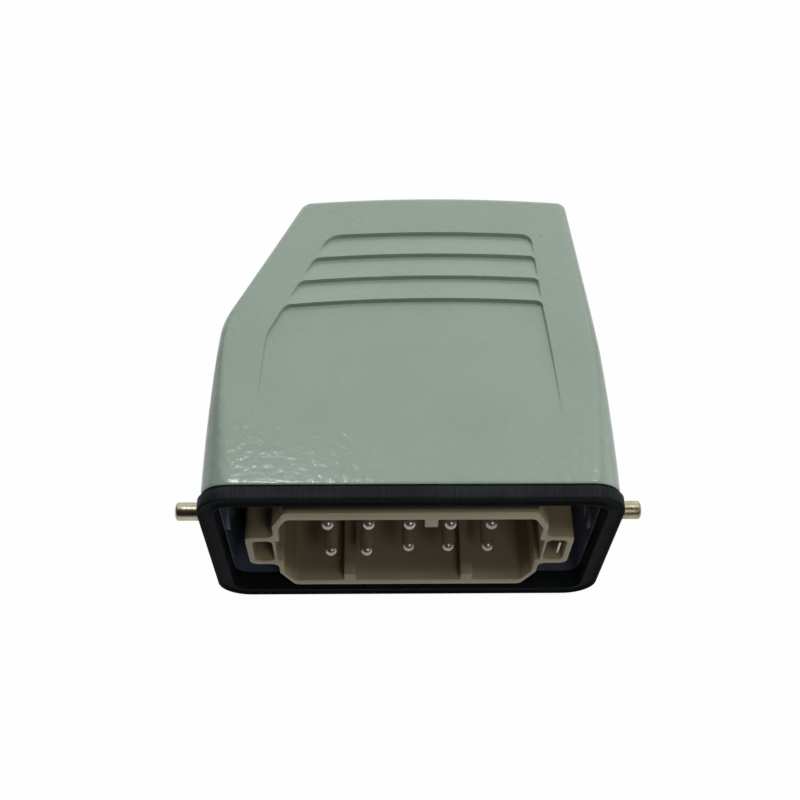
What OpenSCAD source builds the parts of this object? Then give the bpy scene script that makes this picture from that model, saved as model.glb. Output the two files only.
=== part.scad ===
// Hood with male insert of a heavy-duty rectangular multipole connector.
// The origin is the centre of the mating face. -Y points out of the mouth, +Y to the far end
// of the hood, +X along a row of contacts and +Z up, square to the broad faces.

/* [Contacts] */
// Distance between neighbouring contacts in a row
pole_pitch = 7.36; // [7:0.02:9]
// Distance between the two rows of contacts
row_pitch = 9.8; // [9:0.1:12]
// Diameter of a contact pin
pin_d = 2.5; // [1.6:0.1:2.8]
// Distance of the pin tips behind the mating face
pin_setback = 2.1; // [1:0.1:6]
// Step from the pin to the stem that sits in the insert's base
stem_step = 0.35; // [0.2:0.05:0.5]
// Diameter of the barrel that takes the wire
barrel_d = 5.6; // [5:0.1:6.2]
// Length of the barrel
barrel_len = 12; // [10:0.5:13]
// Diameter of the wire hole in the barrel
wire_bore_d = 2.8; // [2.4:0.1:3.2]
// Depth of the wire hole
wire_bore_depth = 9.2; // [8:0.1:9.5]
// Distance of the barrel's shoulder behind the flange
barrel_step = 0.7; // [0.3:0.1:1.2]
// Distance of the terminal screw from the barrel's rear end
clamp_from_end = 5; // [4:0.1:6]

/* [Terminal screws] */
// Diameter of a terminal screw
clamp_screw_d = 2.5; // [2:0.1:3]
// Diameter of its head
clamp_head_d = 4.2; // [3.8:0.1:4.6]
// Height of its head
clamp_head_h = 1.8; // [1.4:0.1:2.2]
// Free height between the head and the barrel
clamp_open = 0.2; // [0.1:0.1:0.8]

/* [Wire guards] */
// Thickness of the guard's leaf
guard_sheet = 0.3; // [0.2:0.05:0.4]
// Width of the leaf
guard_w = 1.4; // [1:0.1:1.6]
// Height of the leaf over the barrel's axis
guard_height = 0.72; // [0.5:0.02:0.8]
// Length of the leaf in the wire hole
guard_len = 7.6; // [6:0.1:8]

/* [Insert] */
// Depth of the collar from the mating face to its floor
collar_depth = 15; // [12:0.5:18]
// Thickness of the collar's long walls
collar_wall = 2.6; // [1.5:0.1:3]
// Thickness of the collar's short walls
collar_end_wall = 0.95; // [0.8:0.05:2]
// Thickness of the wall between the collar's hollow and the pocket of an ear
divider_w = 0.45; // [0.4:0.05:0.8]
// Distance of the collar's hollow below the middle plane
hollow_drop = 0.35; // [0:0.05:0.5]
// Distance from the last contact to the outside of the collar's short wall
collar_margin_x = 9.48; // [8:0.02:12]
// Distance from a row of contacts to the outside of the collar's long wall
collar_margin_z = 11.3; // [10.5:0.1:13]
// Corner cut of the collar along the row
corner_cut_x = 2.5; // [1:0.1:4]
// Corner cut of the collar across the rows
corner_cut_z = 5.9; // [4:0.1:7]
// Corner cut of the collar's hollow along the row
hollow_cut_x = 1.7; // [1:0.1:3]
// Corner cut of the collar's hollow across the rows
hollow_cut_z = 3.8; // [2:0.1:6]
// Rounding of the outer corners of the collar and its ears
collar_r = 1.5; // [0.8:0.1:1.8]
// Rounding of the inner corners of the collar and its ears
collar_inner_r = 1.1; // [0.4:0.1:1.3]
// Reach of an ear beyond the collar's short wall
ear_reach = 5.2; // [4.4:0.1:7]
// Width of an ear
ear_w = 12; // [9:0.1:13]
// Wall at the end of an ear
ear_wall = 1.1; // [0.8:0.1:1.6]
// Wall along the sides of an ear
ear_side_wall = 1.7; // [1:0.1:2]
// Distance of the two ribs from the middle
rib_offset = 11.1; // [10:0.1:13]
// Width of a rib
rib_w = 2.15; // [1.5:0.05:3]
// Height of a rib
rib_h = 2.9; // [2:0.1:3.4]
// Distance of the coding key from the middle
key_offset = 3.6; // [2:0.1:6]
// Width of the key
key_w = 2.3; // [1.5:0.1:3]
// Height of the key
key_h = 3.1; // [2:0.1:4]
// Thickness of the insert's base
base_th = 4.5; // [4:0.1:7]
// Thickness of the flange
flange_th = 3.5; // [2.5:0.1:3.8]
// Width of the flange beyond the ears
flange_lip_x = 2.6; // [2.6:0.1:4]
// Width of the flange beyond the collar's long walls
flange_lip_z = 0.5; // [0.4:0.1:3]
// Corner radius of the flange
flange_r = 3; // [1:0.1:4]
// Length of the terminal block behind the base
block_len = 14; // [13.5:0.1:18]
// Distance from the last contact to the end of the terminal block
block_margin_x = 4.7; // [4:0.1:5.5]
// Distance from a row of contacts to the side of the terminal block
block_margin_z = 7.6; // [6:0.1:8.4]

/* [Earth parts] */
// Thickness of the earth plates
earth_sheet = 1.2; // [0.8:0.1:1.6]
// Width of the plate along the row
earth_plate_w = 7; // [6.5:0.1:7.4]
// Width of the tongue in the ear
tongue_w = 4.6; // [2:0.1:5]
// Thickness of the tongue
tongue_sheet = 0.45; // [0.4:0.05:1]
// Distance of the tongue from the end wall of the ear's pocket
tongue_inset = 0.85; // [0.1:0.05:1.2]
// Distance of the right tongue's tip behind the mating face
tongue_setback_right = 0.4; // [0.2:0.1:8]
// Distance of the left tongue's tip behind the mating face
tongue_setback_left = 7; // [0.2:0.1:8]
// Distance of the earth screw from the middle plane
earth_screw_z = 5.2; // [4.8:0.1:5.3]
// Diameter of the earth screw
earth_screw_d = 4; // [3:0.1:4.2]
// Diameter of its head
earth_head_d = 6.8; // [6:0.1:7]
// Height of its head
earth_head_h = 2.6; // [2:0.1:3.4]
// Side of the square clamp
clamp_side = 7.2; // [6.5:0.1:7.4]
// Thickness of the square clamp
clamp_th = 1; // [0.6:0.1:1.6]

/* [Fixing screws] */
// Diameter of a fixing screw
fixing_d = 4; // [3:0.1:4.2]
// Diameter of its head
fixing_head_d = 6.8; // [6:0.1:7.2]
// Height of its head
fixing_head_h = 2.8; // [2:0.1:3.4]
// Length of the screw in the hood's boss
fixing_grip = 9; // [6:0.5:11]
// Distance of the screws from the flange's ends
fixing_inset_x = 3.5; // [3.4:0.1:3.7]
// Distance of the screws from the flange's sides
fixing_inset_z = 3.4; // [3.2:0.1:4]
// Diameter of a boss in the hood
boss_d = 8.4; // [7:0.1:8.6]

/* [Hood] */
// Length from the mating face to the far end
hood_len = 67.8; // [64:0.1:80]
// Thickness of the walls
hood_wall = 2.6; // [2:0.1:3.4]
// Thickness of the far end
end_wall = 3; // [2:0.1:5]
// Draft of the short sides at the mouth, in degrees
side_draft_mouth = 0.6; // [0:0.1:2]
// Draft of the short sides at the far end, in degrees
side_draft_end = 5.5; // [3:0.1:8]
// Draft of the broad faces at the mouth, in degrees
face_draft_mouth = 2.2; // [1.8:0.1:2.6]
// Draft of the broad faces at the far end, in degrees
face_draft_end = 2.5; // [2:0.1:4]
// Depth at which the walls start to bow inwards
bow_start = 5; // [2:0.5:12]
// Depth at which the bow ends and the walls run straight
bow_end = 43; // [36:0.5:48]
// Rounding of the long edges at the mouth
edge_r_mouth = 5.5; // [4:0.1:7]
// Rounding of the long edges at the far end
edge_r_end = 1.9; // [1.7:0.1:4]
// Depth at which the long edges reach their far rounding
edge_r_run = 32; // [20:0.5:60]
// Radius of the bulge of the far end
end_r = 280; // [200:10:600]
// Place of the bulge's crown along the row
end_apex = 6; // [0:0.5:10]
// Rounding of the edges round the far end
end_fillet = 1.6; // [0.8:0.1:1.7]
// Rounding of the rim's edge beside the gasket
rim_fillet = 1.3; // [0.4:0.1:1.5]
// Angle of the slanted side, in degrees
slant_angle = 26; // [18:0.5:32]
// Distance from the start of the slant to the far end
slant_len = 28.4; // [20:0.1:32]
// Half length of the curve that leads into the slant
slant_blend = 3; // [1:0.1:5]

/* [Louvres] */
// Height of the step at each louvre
louvre_depth = 0.9; // [0.4:0.1:1.3]
// Distance between louvres
louvre_pitch = 5.38; // [4:0.02:6]
// Distance from the first louvre to the far end
louvre_from_end = 9.13; // [8:0.01:14]
// Depth at which the last ramp runs out into the face
louvre_fade = 16; // [10:0.5:24]
// Plain border beside the louvres on the straight side
louvre_border = 9.05; // [7:0.05:12]
// Plain border beside the louvres on the slanted side
louvre_border_slant = 8.55; // [7:0.05:12]
// Angle by which the louvres widen towards the far end on the straight side, in degrees
louvre_flare = 2.5; // [0:0.1:4]
// Distance by which the louvres' border turns before the slant does
louvre_lead = 3.3; // [2:0.1:6]
// Half length of the curve with which the louvres' border turns
louvre_blend = 1; // [0.5:0.1:3]
// Corner radius of the first louvre
louvre_first_r = 2.3; // [1:0.1:4]
// Corner radius of the louvres after it
louvre_next_r = 1.2; // [0.8:0.1:4]
// Height by which a ramp stays under the face at the next step
louvre_land = 0.12; // [0.06:0.02:0.3]

/* [Gasket] */
// Distance by which the gasket stands out round the hood
gasket_proud = 0.5; // [0.3:0.05:1]
// Width of the gasket's face
gasket_face = 3; // [2.3:0.1:3.2]
// Height of the band that shows round the hood
gasket_band = 2.4; // [1.8:0.1:4]
// Thickness of the gasket in front of the rim
gasket_web = 1.3; // [0.9:0.1:1.6]
// Thickness of the band and the skirt on the two sides of the rim
gasket_skin = 0.75; // [0.6:0.05:0.8]
// Depth of the skirt inside the mouth
gasket_skirt = 3.6; // [3:0.1:5.5]
// Height of the two sealing lips
lip_h = 0.35; // [0.2:0.05:0.6]
// Width of a sealing lip
lip_w = 0.6; // [0.4:0.05:0.8]

/* [Locking pegs] */
// Diameter of a peg
peg_d = 3.4; // [3:0.1:5]
// Reach of a peg out of the hood
peg_reach = 7; // [5:0.1:10]
// Distance of the pegs behind the mating face
peg_y = 8; // [7:0.1:12]
// Step from the peg to the shank pressed into the hood
peg_step = 0.3; // [0.2:0.05:0.6]
// Wall round the shank in the peg's boss
peg_boss_wall = 2; // [1.5:0.1:2.5]
// Height of the peg's boss inside the hood
peg_boss_h = 0.6; // [0.5:0.1:2]
// Chamfer of a peg's end
peg_chamfer = 0.35; // [0.1:0.05:0.8]

/* [Cable entry] */
// Core diameter of the entry's thread
entry_d = 23.5; // [16:0.1:24]
// Distance of the entry from the far end
entry_from_end = 19.8; // [18:0.1:22]
// Length of the thread
entry_len = 7; // [5:0.1:9]
// Width of the flat seat round the entry
entry_seat_w = 3.4; // [2:0.1:3.6]
// Depth of the seat in the side
entry_seat_depth = 0.4; // [0.3:0.05:0.6]

/* [Fits] */
// Clearance round the flange in the hood
flange_clear = 0.9; // [0.4:0.1:1.5]
// Clearance of pressed, threaded and moulded-in pieces, on each side
press_gap = 0.02; // [0.01:0.01:0.04]
// Clearance of pieces that slide in, on each side
slide_gap = 0.06; // [0.04:0.01:0.1]
// Clearance of a screw in a plain hole, on each side
screw_gap = 0.2; // [0.1:0.05:0.3]
// Clearance of a screw head in its access hole, on each side
head_gap = 0.4; // [0.3:0.05:0.6]

/* [Hidden] */
poles_per_row = 5;
poles = 2 * poles_per_row;
louvres = 4;
long_ramp_rows = 8;
louvre_steps = 20;
// Shares of a louvre's width, close together at its round corners
louvre_shares = [for (i = [0:louvre_steps]) (1 - cos(180 * i / louvre_steps)) / 2];
// Contacts that stand bent, as number, lean towards +X, lean towards -Z in degrees and extra reach
bent = [[6, 1, 4.9, 0.4], [7, -2, 5.1, 0.4]];
$fn = 64;
eps = 0.01;
over = 1;

// Insert
pin_r = pin_d / 2;
stem_r = pin_r + stem_step;
barrel_r = barrel_d / 2;
wire_bore_r = wire_bore_d / 2;
last_pole_x = (poles_per_row - 1) / 2 * pole_pitch;
row_z = row_pitch / 2;
collar_x = last_pole_x + collar_margin_x;
collar_z = row_z + collar_margin_z;
ear_x = collar_x + ear_reach;
flange_half_x = ear_x + flange_lip_x;
flange_half_z = collar_z + flange_lip_z;
flange_rear = collar_depth + base_th;
flange_front = flange_rear - flange_th;
seat_y = flange_rear + earth_sheet;
block_rear = flange_rear + block_len;
barrel_y = flange_rear + barrel_step;
barrel_rear = barrel_y + barrel_len;
clamp_y = barrel_rear - clamp_from_end;
fixing_x = flange_half_x - fixing_inset_x;
fixing_z = flange_half_z - fixing_inset_z;
earth_x = flange_half_x - earth_plate_w / 2;
pocket_z = ear_w / 2 - ear_side_wall;
tongue_x = ear_x - ear_wall - tongue_inset;

// Hood
hood_half_w = flange_half_x + flange_clear + hood_wall + bow(seat_y, side_draft_mouth, side_draft_end);
hood_half_t = flange_half_z + flange_clear + hood_wall + bow(seat_y, face_draft_mouth, face_draft_end);
slant_y = hood_len - slant_len;
slant_rise = tan(slant_angle) - tan(side_draft_end);
entry_y = hood_len - entry_from_end;
entry_r = entry_d / 2;
entry_seat_r = entry_r + entry_seat_w;

// Gasket and rim, each as half width, half thickness and corner radius at the mouth
mouth = [hood_half_w + gasket_proud, hood_half_t + gasket_proud, edge_r_mouth + gasket_proud];
tongue_out = inset(mouth, gasket_skin + press_gap);
tongue_in = inset(mouth, gasket_face - gasket_skin - press_gap);

// Pegs
peg_r = peg_d / 2;
peg_shank_r = peg_r - peg_step;
peg_foot_x = half_w(peg_y - peg_r);
peg_boss_x = half_w(peg_y) - hood_wall - peg_boss_h;

function inset(size, by) = [for (v = size) v - by];
function reversed(list) = [for (i = [len(list) - 1:-1:0]) list[i]];
function unit(v) = v / norm(v);

// Closed outline from its points in the first quarter
function four_quarters(quarter) = concat(
    quarter,
    [for (p = reversed(quarter)) [-p[0], p[1]]],
    [for (p = quarter) [-p[0], -p[1]]],
    [for (p = reversed(quarter)) [p[0], -p[1]]]);

// Closed outline with an arc of radius r at each corner
function round_corners(points, r, arc_steps) =
    let (n = len(points))
    [for (i = [0:n - 1])
        let (a = unit(points[(i + n - 1) % n] - points[i]),
             b = unit(points[(i + 1) % n] - points[i]),
             half_angle = acos(a * b) / 2,
             turn = 180 - 2 * half_angle,
             centre = points[i] + unit(a + b) * r / sin(half_angle),
             from = points[i] + a * r / tan(half_angle) - centre,
             to = points[i] + b * r / tan(half_angle) - centre)
        for (j = [0:arc_steps])
            centre + (from * sin(turn * (1 - j / arc_steps)) + to * sin(turn * j / arc_steps)) / sin(turn)];
function row_of(k) = k <= poles_per_row ? 1 : -1;
function pole_x(k) = ((k - 1) % poles_per_row) * pole_pitch - last_pole_x;
function lean_of(k) =
    let (found = [for (b = bent) if (b[0] == k) b])
    len(found) > 0 ? found[0] : [k, 0, 0, 0];

// How far a wall has drawn in at depth y: straight at first, then bowed, then straight again
function bow(y, draft_mouth, draft_end) =
    let (a = tan(draft_mouth),
         b = tan(draft_end),
         span = bow_end - bow_start,
         run = min(max(y - bow_start, 0), span),
         past = max(y - bow_end, 0))
    a * y + (b - a) * (run * run / (2 * span) + past);

function half_w(y) = hood_half_w - bow(y, side_draft_mouth, side_draft_end);
function half_t(y) = hood_half_t - bow(y, face_draft_mouth, face_draft_end);

// How far the slanted side has moved in at depth y, with a curve of half length b round the bend
function slant_shift(y, b) =
    let (u = y - slant_y)
    slant_rise * (u <= -b ? 0 : u >= b ? u : (u + b) * (u + b) / (4 * b));

function left_x(y) = slant_shift(y, slant_blend) - half_w(y);
function edge_r(y) = edge_r_mouth + (edge_r_end - edge_r_mouth) * min(y / edge_r_run, 1);
function end_sag(x) = (x - end_apex) * (x - end_apex) / (2 * end_r);

// Lower half of a rounded outline from left to right, as [x, z]
function lower_half(x0, x1, z1, r, arc_steps, edge_steps) = concat(
    [for (i = [0:arc_steps]) let (a = 180 + 90 * i / arc_steps) [x0 + r + r * cos(a), r * sin(a) - z1 + r]],
    [for (i = [1:edge_steps - 1]) [x0 + r + (x1 - x0 - 2 * r) * i / edge_steps, -z1]],
    [for (i = [0:arc_steps]) let (a = 270 + 90 * i / arc_steps) [x1 - r + r * cos(a), r * sin(a) - z1 + r]]);

// Closed outline of the hood at depth y, drawn in by a wall, and bent as the far end is by bend
function ring(y, wall, bend, arc_steps, edge_steps) =
    let (r = max(edge_r(y) - wall, edge_r_end - end_fillet),
         half = lower_half(left_x(y) + wall, half_w(y) - wall, half_t(y) - wall, r, arc_steps, edge_steps),
         n = len(half))
    concat([for (p = half) [p[0], y - bend * end_sag(p[0]), p[1]]],
           [for (i = [n - 1:-1:0]) [half[i][0], y - bend * end_sag(half[i][0]), -half[i][1]]]);

function bend_at(y) = let (from = bow_start) max(0, (y - from) / (hood_len - from));
function steps(from, to, n) = [for (i = [0:n - 1]) from + (to - from) * i / n];

// Skin through rings of equal length, each symmetric about the middle plane
module loft(rings) {
    n = len(rings[0]);
    half = n / 2;
    last = (len(rings) - 1) * n;
    quads = concat(
        [for (j = [0:len(rings) - 2], i = [0:n - 1])
            let (k = (i + 1) % n) [j * n + i, j * n + k, (j + 1) * n + k, (j + 1) * n + i]],
        [for (i = [0:half - 2]) [i, n - 1 - i, n - 2 - i, i + 1]],
        [for (i = [0:half - 2]) [last + i, last + i + 1, last + n - 2 - i, last + n - 1 - i]]);
    triangles = [for (q = quads) each [[q[0], q[1], q[2]], [q[0], q[2], q[3]]]];
    polyhedron([for (r = rings) each r], triangles, convexity = 6);
}

module rounded(half_x, half_z, r) {
    square([2 * half_x, 2 * (half_z - r)], center = true);
    square([2 * (half_x - r), 2 * half_z], center = true);
    for (sx = [-1, 1], sz = [-1, 1])
        translate([sx * (half_x - r), sz * (half_z - r)])
            circle(r);
}

// Extrudes a flat [x, z] shape from depth y0 to depth y1
module along_y(y0, y1) {
    translate([0, y1, 0])
        rotate([90, 0, 0])
            linear_extrude(y1 - y0)
                children();
}

module slab(size, y0, y1) {
    along_y(y0, y1)
        rounded(size[0], size[1], size[2]);
}

// Rod along Y at x, z
module rod(x, z, r, y0, y1) {
    translate([x, y0, z])
        rotate([-90, 0, 0])
            cylinder(r = r, h = y1 - y0);
}

module block(x0, x1, y0, y1, z0, z1) {
    translate([x0, y0, z0])
        cube([x1 - x0, y1 - y0, z1 - z0]);
}

module at_fixings() {
    for (sx = [-1, 1], sz = [-1, 1])
        translate([sx * fixing_x, 0, sz * fixing_z])
            children();
}

module hood_form() {
    stations = concat(
        steps(gasket_band + rim_fillet, slant_y - slant_blend, 9),
        steps(slant_y - slant_blend, slant_y + slant_blend, 6),
        steps(slant_y + slant_blend, hood_len - end_fillet, 6));
    rim = [for (a = [90:-30:30])
        ring(gasket_band + rim_fillet * (1 - sin(a)), rim_fillet * (1 - cos(a)), 0, 6, 8)];
    body = [for (y = stations) ring(y, 0, bend_at(y), 6, 8)];
    tip = [for (a = [0:30:90])
        ring(hood_len - end_fillet * (1 - sin(a)), end_fillet * (1 - cos(a)), 1, 6, 8)];
    loft(concat(rim, body, tip));
}

module hood_hollow() {
    inner_end = hood_len - end_wall;
    stations = concat(
        steps(gasket_web - over, slant_y - slant_blend, 6),
        steps(slant_y - slant_blend, slant_y + slant_blend, 4),
        steps(slant_y + slant_blend, inner_end, 4),
        [inner_end]);
    loft([for (y = stations) ring(y, hood_wall, bend_at(y), 4, 6)]);
}

// Columns in the corners of the hood that take the fixing screws
module hood_columns() {
    boss_r = boss_d / 2;
    reach = hood_half_w;
    at_fixings()
        rod(0, 0, boss_r, seat_y, hood_len);
    for (sx = [-1, 1], sz = [-1, 1])
        scale([sx, 1, sz]) {
            block(fixing_x, fixing_x + reach, seat_y, hood_len, fixing_z - boss_r, fixing_z + reach);
            block(fixing_x - boss_r, fixing_x + eps, seat_y, hood_len, fixing_z, fixing_z + reach);
        }
}

// Places a shape with its +Z out of the cable entry and its origin on the hood's side
module at_entry() {
    translate([half_w(entry_y), entry_y, 0])
        rotate([0, 0, side_draft_end])
            rotate([0, 90, 0])
                children();
}

module entry_boss() {
    at_entry()
        translate([0, 0, -entry_seat_depth - entry_len])
            cylinder(r = entry_seat_r, h = entry_len);
}

module entry_cut() {
    relief = boss_d + entry_len;
    at_entry() {
        translate([0, 0, -entry_seat_depth - entry_len - eps])
            cylinder(r = entry_r, h = entry_len + hood_wall);
        translate([0, 0, -entry_seat_depth])
            cylinder(r = entry_seat_r, h = hood_wall);
        translate([0, 0, -entry_seat_depth - entry_len - relief])
            cylinder(r = entry_seat_r, h = relief);
    }
}

// Peg side: +1 is right, -1 is left
module peg_rod(side, r, x0, x1) {
    translate([side * x0, peg_y, 0])
        rotate([0, side * 90, 0])
            cylinder(r = r, h = x1 - x0);
}

function louvre_y(k) = hood_len - louvre_from_end - k * louvre_pitch;
function louvre_left(y) = louvre_border_slant - half_w(y) + slant_shift(y + louvre_lead, louvre_blend);
function louvre_right(y) = half_w(y) - louvre_border + tan(louvre_flare) * max(y - louvre_y(louvres - 1), 0);

// Drop of a louvre's step at a share u of its width w, which rounds its two corners to radius r
function louvre_corner(u, w, r) =
    let (side = min(u, 1 - u) * w)
    side < r ? r - sqrt(side * (2 * r - side)) : 0;

// Points across a louvre, sunk under the face, at a share s of the way from its ramp's end to its step
function louvre_row(near_y, far_y, r, s, sink) =
    [for (u = louvre_shares)
        let (flat_y = near_y + (far_y - near_y) * s,
             w = louvre_right(flat_y) - louvre_left(flat_y),
             x = louvre_left(flat_y) + w * u,
             y = flat_y - end_sag(x) - s * louvre_corner(u, w, r))
        [x, y, half_t(y) - sink]];

// Wedge that cuts one louvre: a step at its far edge and a ramp that climbs towards the mouth
module louvre_cut(k) {
    is_last = k == louvres - 1;
    corner_r = k == 0 ? louvre_first_r : louvre_next_r;
    far_y = louvre_y(k);
    near_y = is_last ? louvre_fade - over : louvre_y(k + 1) - eps;
    ramp_end = is_last ? -louvre_depth * over / (far_y - louvre_fade) : louvre_land;
    rows = is_last ? long_ramp_rows : 1;
    loft([for (i = [0:rows])
        let (s = i / rows, sink = ramp_end + (louvre_depth - ramp_end) * s)
        concat(louvre_row(near_y, far_y, corner_r, s, sink),
               reversed(louvre_row(near_y, far_y, corner_r, s, -over)))]);
}

module hood_shell() {
    color("#8d9a93")
        difference() {
            union() {
                hood_form();
                slab(tongue_out, gasket_web, gasket_band + over);
            }
            difference() {
                hood_hollow();
                hood_columns();
                entry_boss();
                for (side = [-1, 1])
                    peg_rod(side, peg_shank_r + peg_boss_wall, peg_boss_x, hood_half_w);
            }
            slab(tongue_in, gasket_web - over, gasket_skirt + press_gap);
            entry_cut();
            for (side = [-1, 1])
                peg_rod(side, peg_shank_r + press_gap, peg_boss_x - over, hood_half_w + over);
            at_fixings()
                rod(0, 0, fixing_d / 2 + press_gap, seat_y - eps, seat_y + fixing_grip + over);
            for (k = [0:louvres - 1], face = [0, 1])
                mirror([0, 0, face])
                    louvre_cut(k);
        }
}

module rim_gasket() {
    opening = inset(mouth, gasket_face);
    lip_in = inset(mouth, gasket_face - lip_w);
    lip_out = inset(mouth, lip_w);
    color("#17191b")
        difference() {
            slab(mouth, 0, gasket_skirt);
            slab(opening, -over, gasket_skirt + over);
            difference() {
                slab(lip_out, -over, lip_h);
                slab(lip_in, -over - eps, lip_h + eps);
            }
            difference() {
                slab(inset(tongue_out, -press_gap), gasket_web - press_gap, gasket_skirt + over);
                slab(inset(tongue_in, press_gap), gasket_web - over, gasket_skirt + 2 * over);
            }
            difference() {
                slab(inset(mouth, -over), gasket_band - press_gap, gasket_skirt + over);
                slab(inset(tongue_in, press_gap), gasket_band - over, gasket_skirt + 2 * over);
            }
        }
}

module locking_peg(side) {
    color("#b9b6ac") {
        peg_rod(side, peg_r, peg_foot_x, peg_foot_x + peg_reach - peg_chamfer);
        peg_rod(side, peg_shank_r, peg_boss_x, peg_foot_x + eps);
        translate([side * (peg_foot_x + peg_reach - peg_chamfer), peg_y, 0])
            rotate([0, side * 90, 0])
                cylinder(r1 = peg_r, r2 = peg_r - peg_chamfer, h = peg_chamfer);
    }
}

// First quarter of an eight-sided outline with half sizes x and z
function cut_quarter(x, z, cut_x, cut_z) = [[x, z - cut_z], [x - cut_x, z]];

module collar_outline() {
    ear = [[ear_x, ear_w / 2], [collar_x, ear_w / 2]];
    quarter = concat(ear, cut_quarter(collar_x, collar_z, corner_cut_x, corner_cut_z));
    polygon(round_corners(four_quarters(quarter), collar_r, 4));
}

// The hollow with the shallow recess beside each ear
module collar_hollow() {
    quarter = cut_quarter(collar_x - collar_end_wall, collar_z - collar_wall, hollow_cut_x, hollow_cut_z);
    translate([0, -hollow_drop])
        polygon(round_corners(four_quarters(quarter), collar_inner_r, 4));
    square([2 * collar_x, 2 * pocket_z], center = true);
}

module insert_body() {
    block_x = last_pole_x + block_margin_x;
    block_z = row_z + block_margin_z;
    roof_z = collar_z - collar_wall - hollow_drop;
    floor_z = collar_wall - collar_z - hollow_drop;
    pocket_w = ear_reach - ear_wall - divider_w;
    slot_x = tongue_x - tongue_sheet - slide_gap;
    color("#b7b2a4")
        difference() {
            union() {
                difference() {
                    along_y(0, flange_rear)
                        collar_outline();
                    along_y(-over, collar_depth)
                        collar_hollow();
                }
                for (side = [-1, 1])
                    block(side * rib_offset - rib_w / 2, side * rib_offset + rib_w / 2,
                          0, collar_depth + over, floor_z - eps, floor_z + rib_h);
                block(key_offset - key_w / 2, key_offset + key_w / 2,
                      0, collar_depth + over, roof_z - key_h, roof_z + eps);
                slab([flange_half_x, flange_half_z, flange_r], flange_front, flange_rear);
                block(-block_x, block_x, flange_rear - over, block_rear, -block_z, block_z);
            }
            for (side = [-1, 1]) {
                translate([side * (collar_x + divider_w + pocket_w / 2), 0, 0])
                    slab([pocket_w / 2, pocket_z, collar_inner_r], -over, collar_depth - over);
                scale([side, 1, 1])
                    block(slot_x, tongue_x + slide_gap, 0, flange_rear + over,
                          -tongue_w / 2 - slide_gap, tongue_w / 2 + slide_gap);
            }
            for (k = [1:poles]) {
                rod(pole_x(k), row_of(k) * row_z, stem_r + press_gap, 0, flange_rear + over);
                rod(pole_x(k), row_of(k) * row_z, barrel_r + slide_gap, barrel_y, block_rear + over);
                translate([pole_x(k), clamp_y, row_of(k) * row_z])
                    rotate([90 - row_of(k) * 90, 0, 0])
                        cylinder(r = clamp_head_d / 2 + head_gap, h = block_margin_z + over);
            }
            at_fixings()
                rod(0, 0, fixing_d / 2 + screw_gap, flange_front - over, flange_rear + over);
        }
}

// Turned pin with a ball tip along +Z, its length measured to the tip
module ball_pin(length) {
    rotate_extrude()
        union() {
            square([pin_r, length - pin_r]);
            intersection() {
                translate([0, length - pin_r])
                    circle(pin_r);
                translate([0, length - pin_r - eps])
                    square([pin_r, pin_r + 2 * eps]);
            }
        }
}

module contact_pin(k) {
    lean = lean_of(k);
    root = base_th / 4;
    color("#c9c7c0")
        translate([pole_x(k), 0, row_of(k) * row_z])
            difference() {
                union() {
                    translate([0, collar_depth + root, 0])
                        rotate([90 + lean[2], 0, lean[1]])
                            ball_pin(collar_depth + root - pin_setback + lean[3]);
                    rod(0, 0, stem_r, collar_depth, barrel_y + eps);
                    rod(0, 0, barrel_r, barrel_y, barrel_rear);
                }
                rod(0, 0, wire_bore_r, barrel_rear - wire_bore_depth, barrel_rear + over);
                translate([0, clamp_y, 0])
                    rotate([90 - row_of(k) * 90, 0, 0])
                        cylinder(r = clamp_screw_d / 2 + press_gap, h = barrel_r + over);
            }
}

// Leaf in the wire hole with a tab that hooks over the barrel's rear end
module wire_guard(k) {
    tab_top = barrel_r - guard_sheet;
    color("#d8d8d4")
        translate([pole_x(k), 0, row_of(k) * row_z])
            scale([1, 1, row_of(k)]) {
                block(-guard_w / 2, guard_w / 2, barrel_rear - guard_len, barrel_rear + guard_sheet,
                      guard_height, guard_height + guard_sheet);
                block(-guard_w / 2, guard_w / 2, barrel_rear, barrel_rear + guard_sheet,
                      guard_height, tab_top);
            }
}

// Slotted screw along +Z, with its tip at the origin
module slotted_screw(d, length, head_d, head_h) {
    slot_w = head_d / 5;
    slot_depth = head_h / 2;
    difference() {
        union() {
            cylinder(r = d / 2, h = length + eps);
            translate([0, 0, length])
                cylinder(r = head_d / 2, h = head_h);
        }
        translate([-head_d, -slot_w / 2, length + head_h - slot_depth])
            cube([2 * head_d, slot_w, slot_depth + over]);
    }
}

module terminal_screws() {
    tip = guard_height + guard_sheet + press_gap;
    length = barrel_r + clamp_open - tip;
    color("#b3b1a9")
        for (k = [1:poles])
            translate([pole_x(k), clamp_y, row_of(k) * row_z])
                rotate([90 - row_of(k) * 90, 0, 0])
                    translate([0, 0, tip])
                        slotted_screw(clamp_screw_d, length, clamp_head_d, clamp_head_h);
}

// Stamped plate behind the flange with a tongue bent forward into the ear
module earth_plate(side) {
    plate_x = flange_half_x - earth_plate_w;
    plate_z = flange_half_z - flange_clear / 2;
    front = flange_rear - over;
    back = seat_y + over;
    tip_y = side > 0 ? tongue_setback_right : tongue_setback_left;
    color("#c4b98a")
        scale([side, 1, 1])
            difference() {
                union() {
                    block(plate_x, flange_half_x, flange_rear, seat_y, -plate_z, plate_z);
                    block(tongue_x - tongue_sheet, tongue_x, tip_y, seat_y, -tongue_w / 2, tongue_w / 2);
                }
                for (sz = [-1, 1])
                    rod(fixing_x, sz * fixing_z, fixing_d / 2 + screw_gap, front, back);
                rod(earth_x, earth_screw_z, earth_screw_d / 2 + press_gap, front, back);
            }
}

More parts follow.
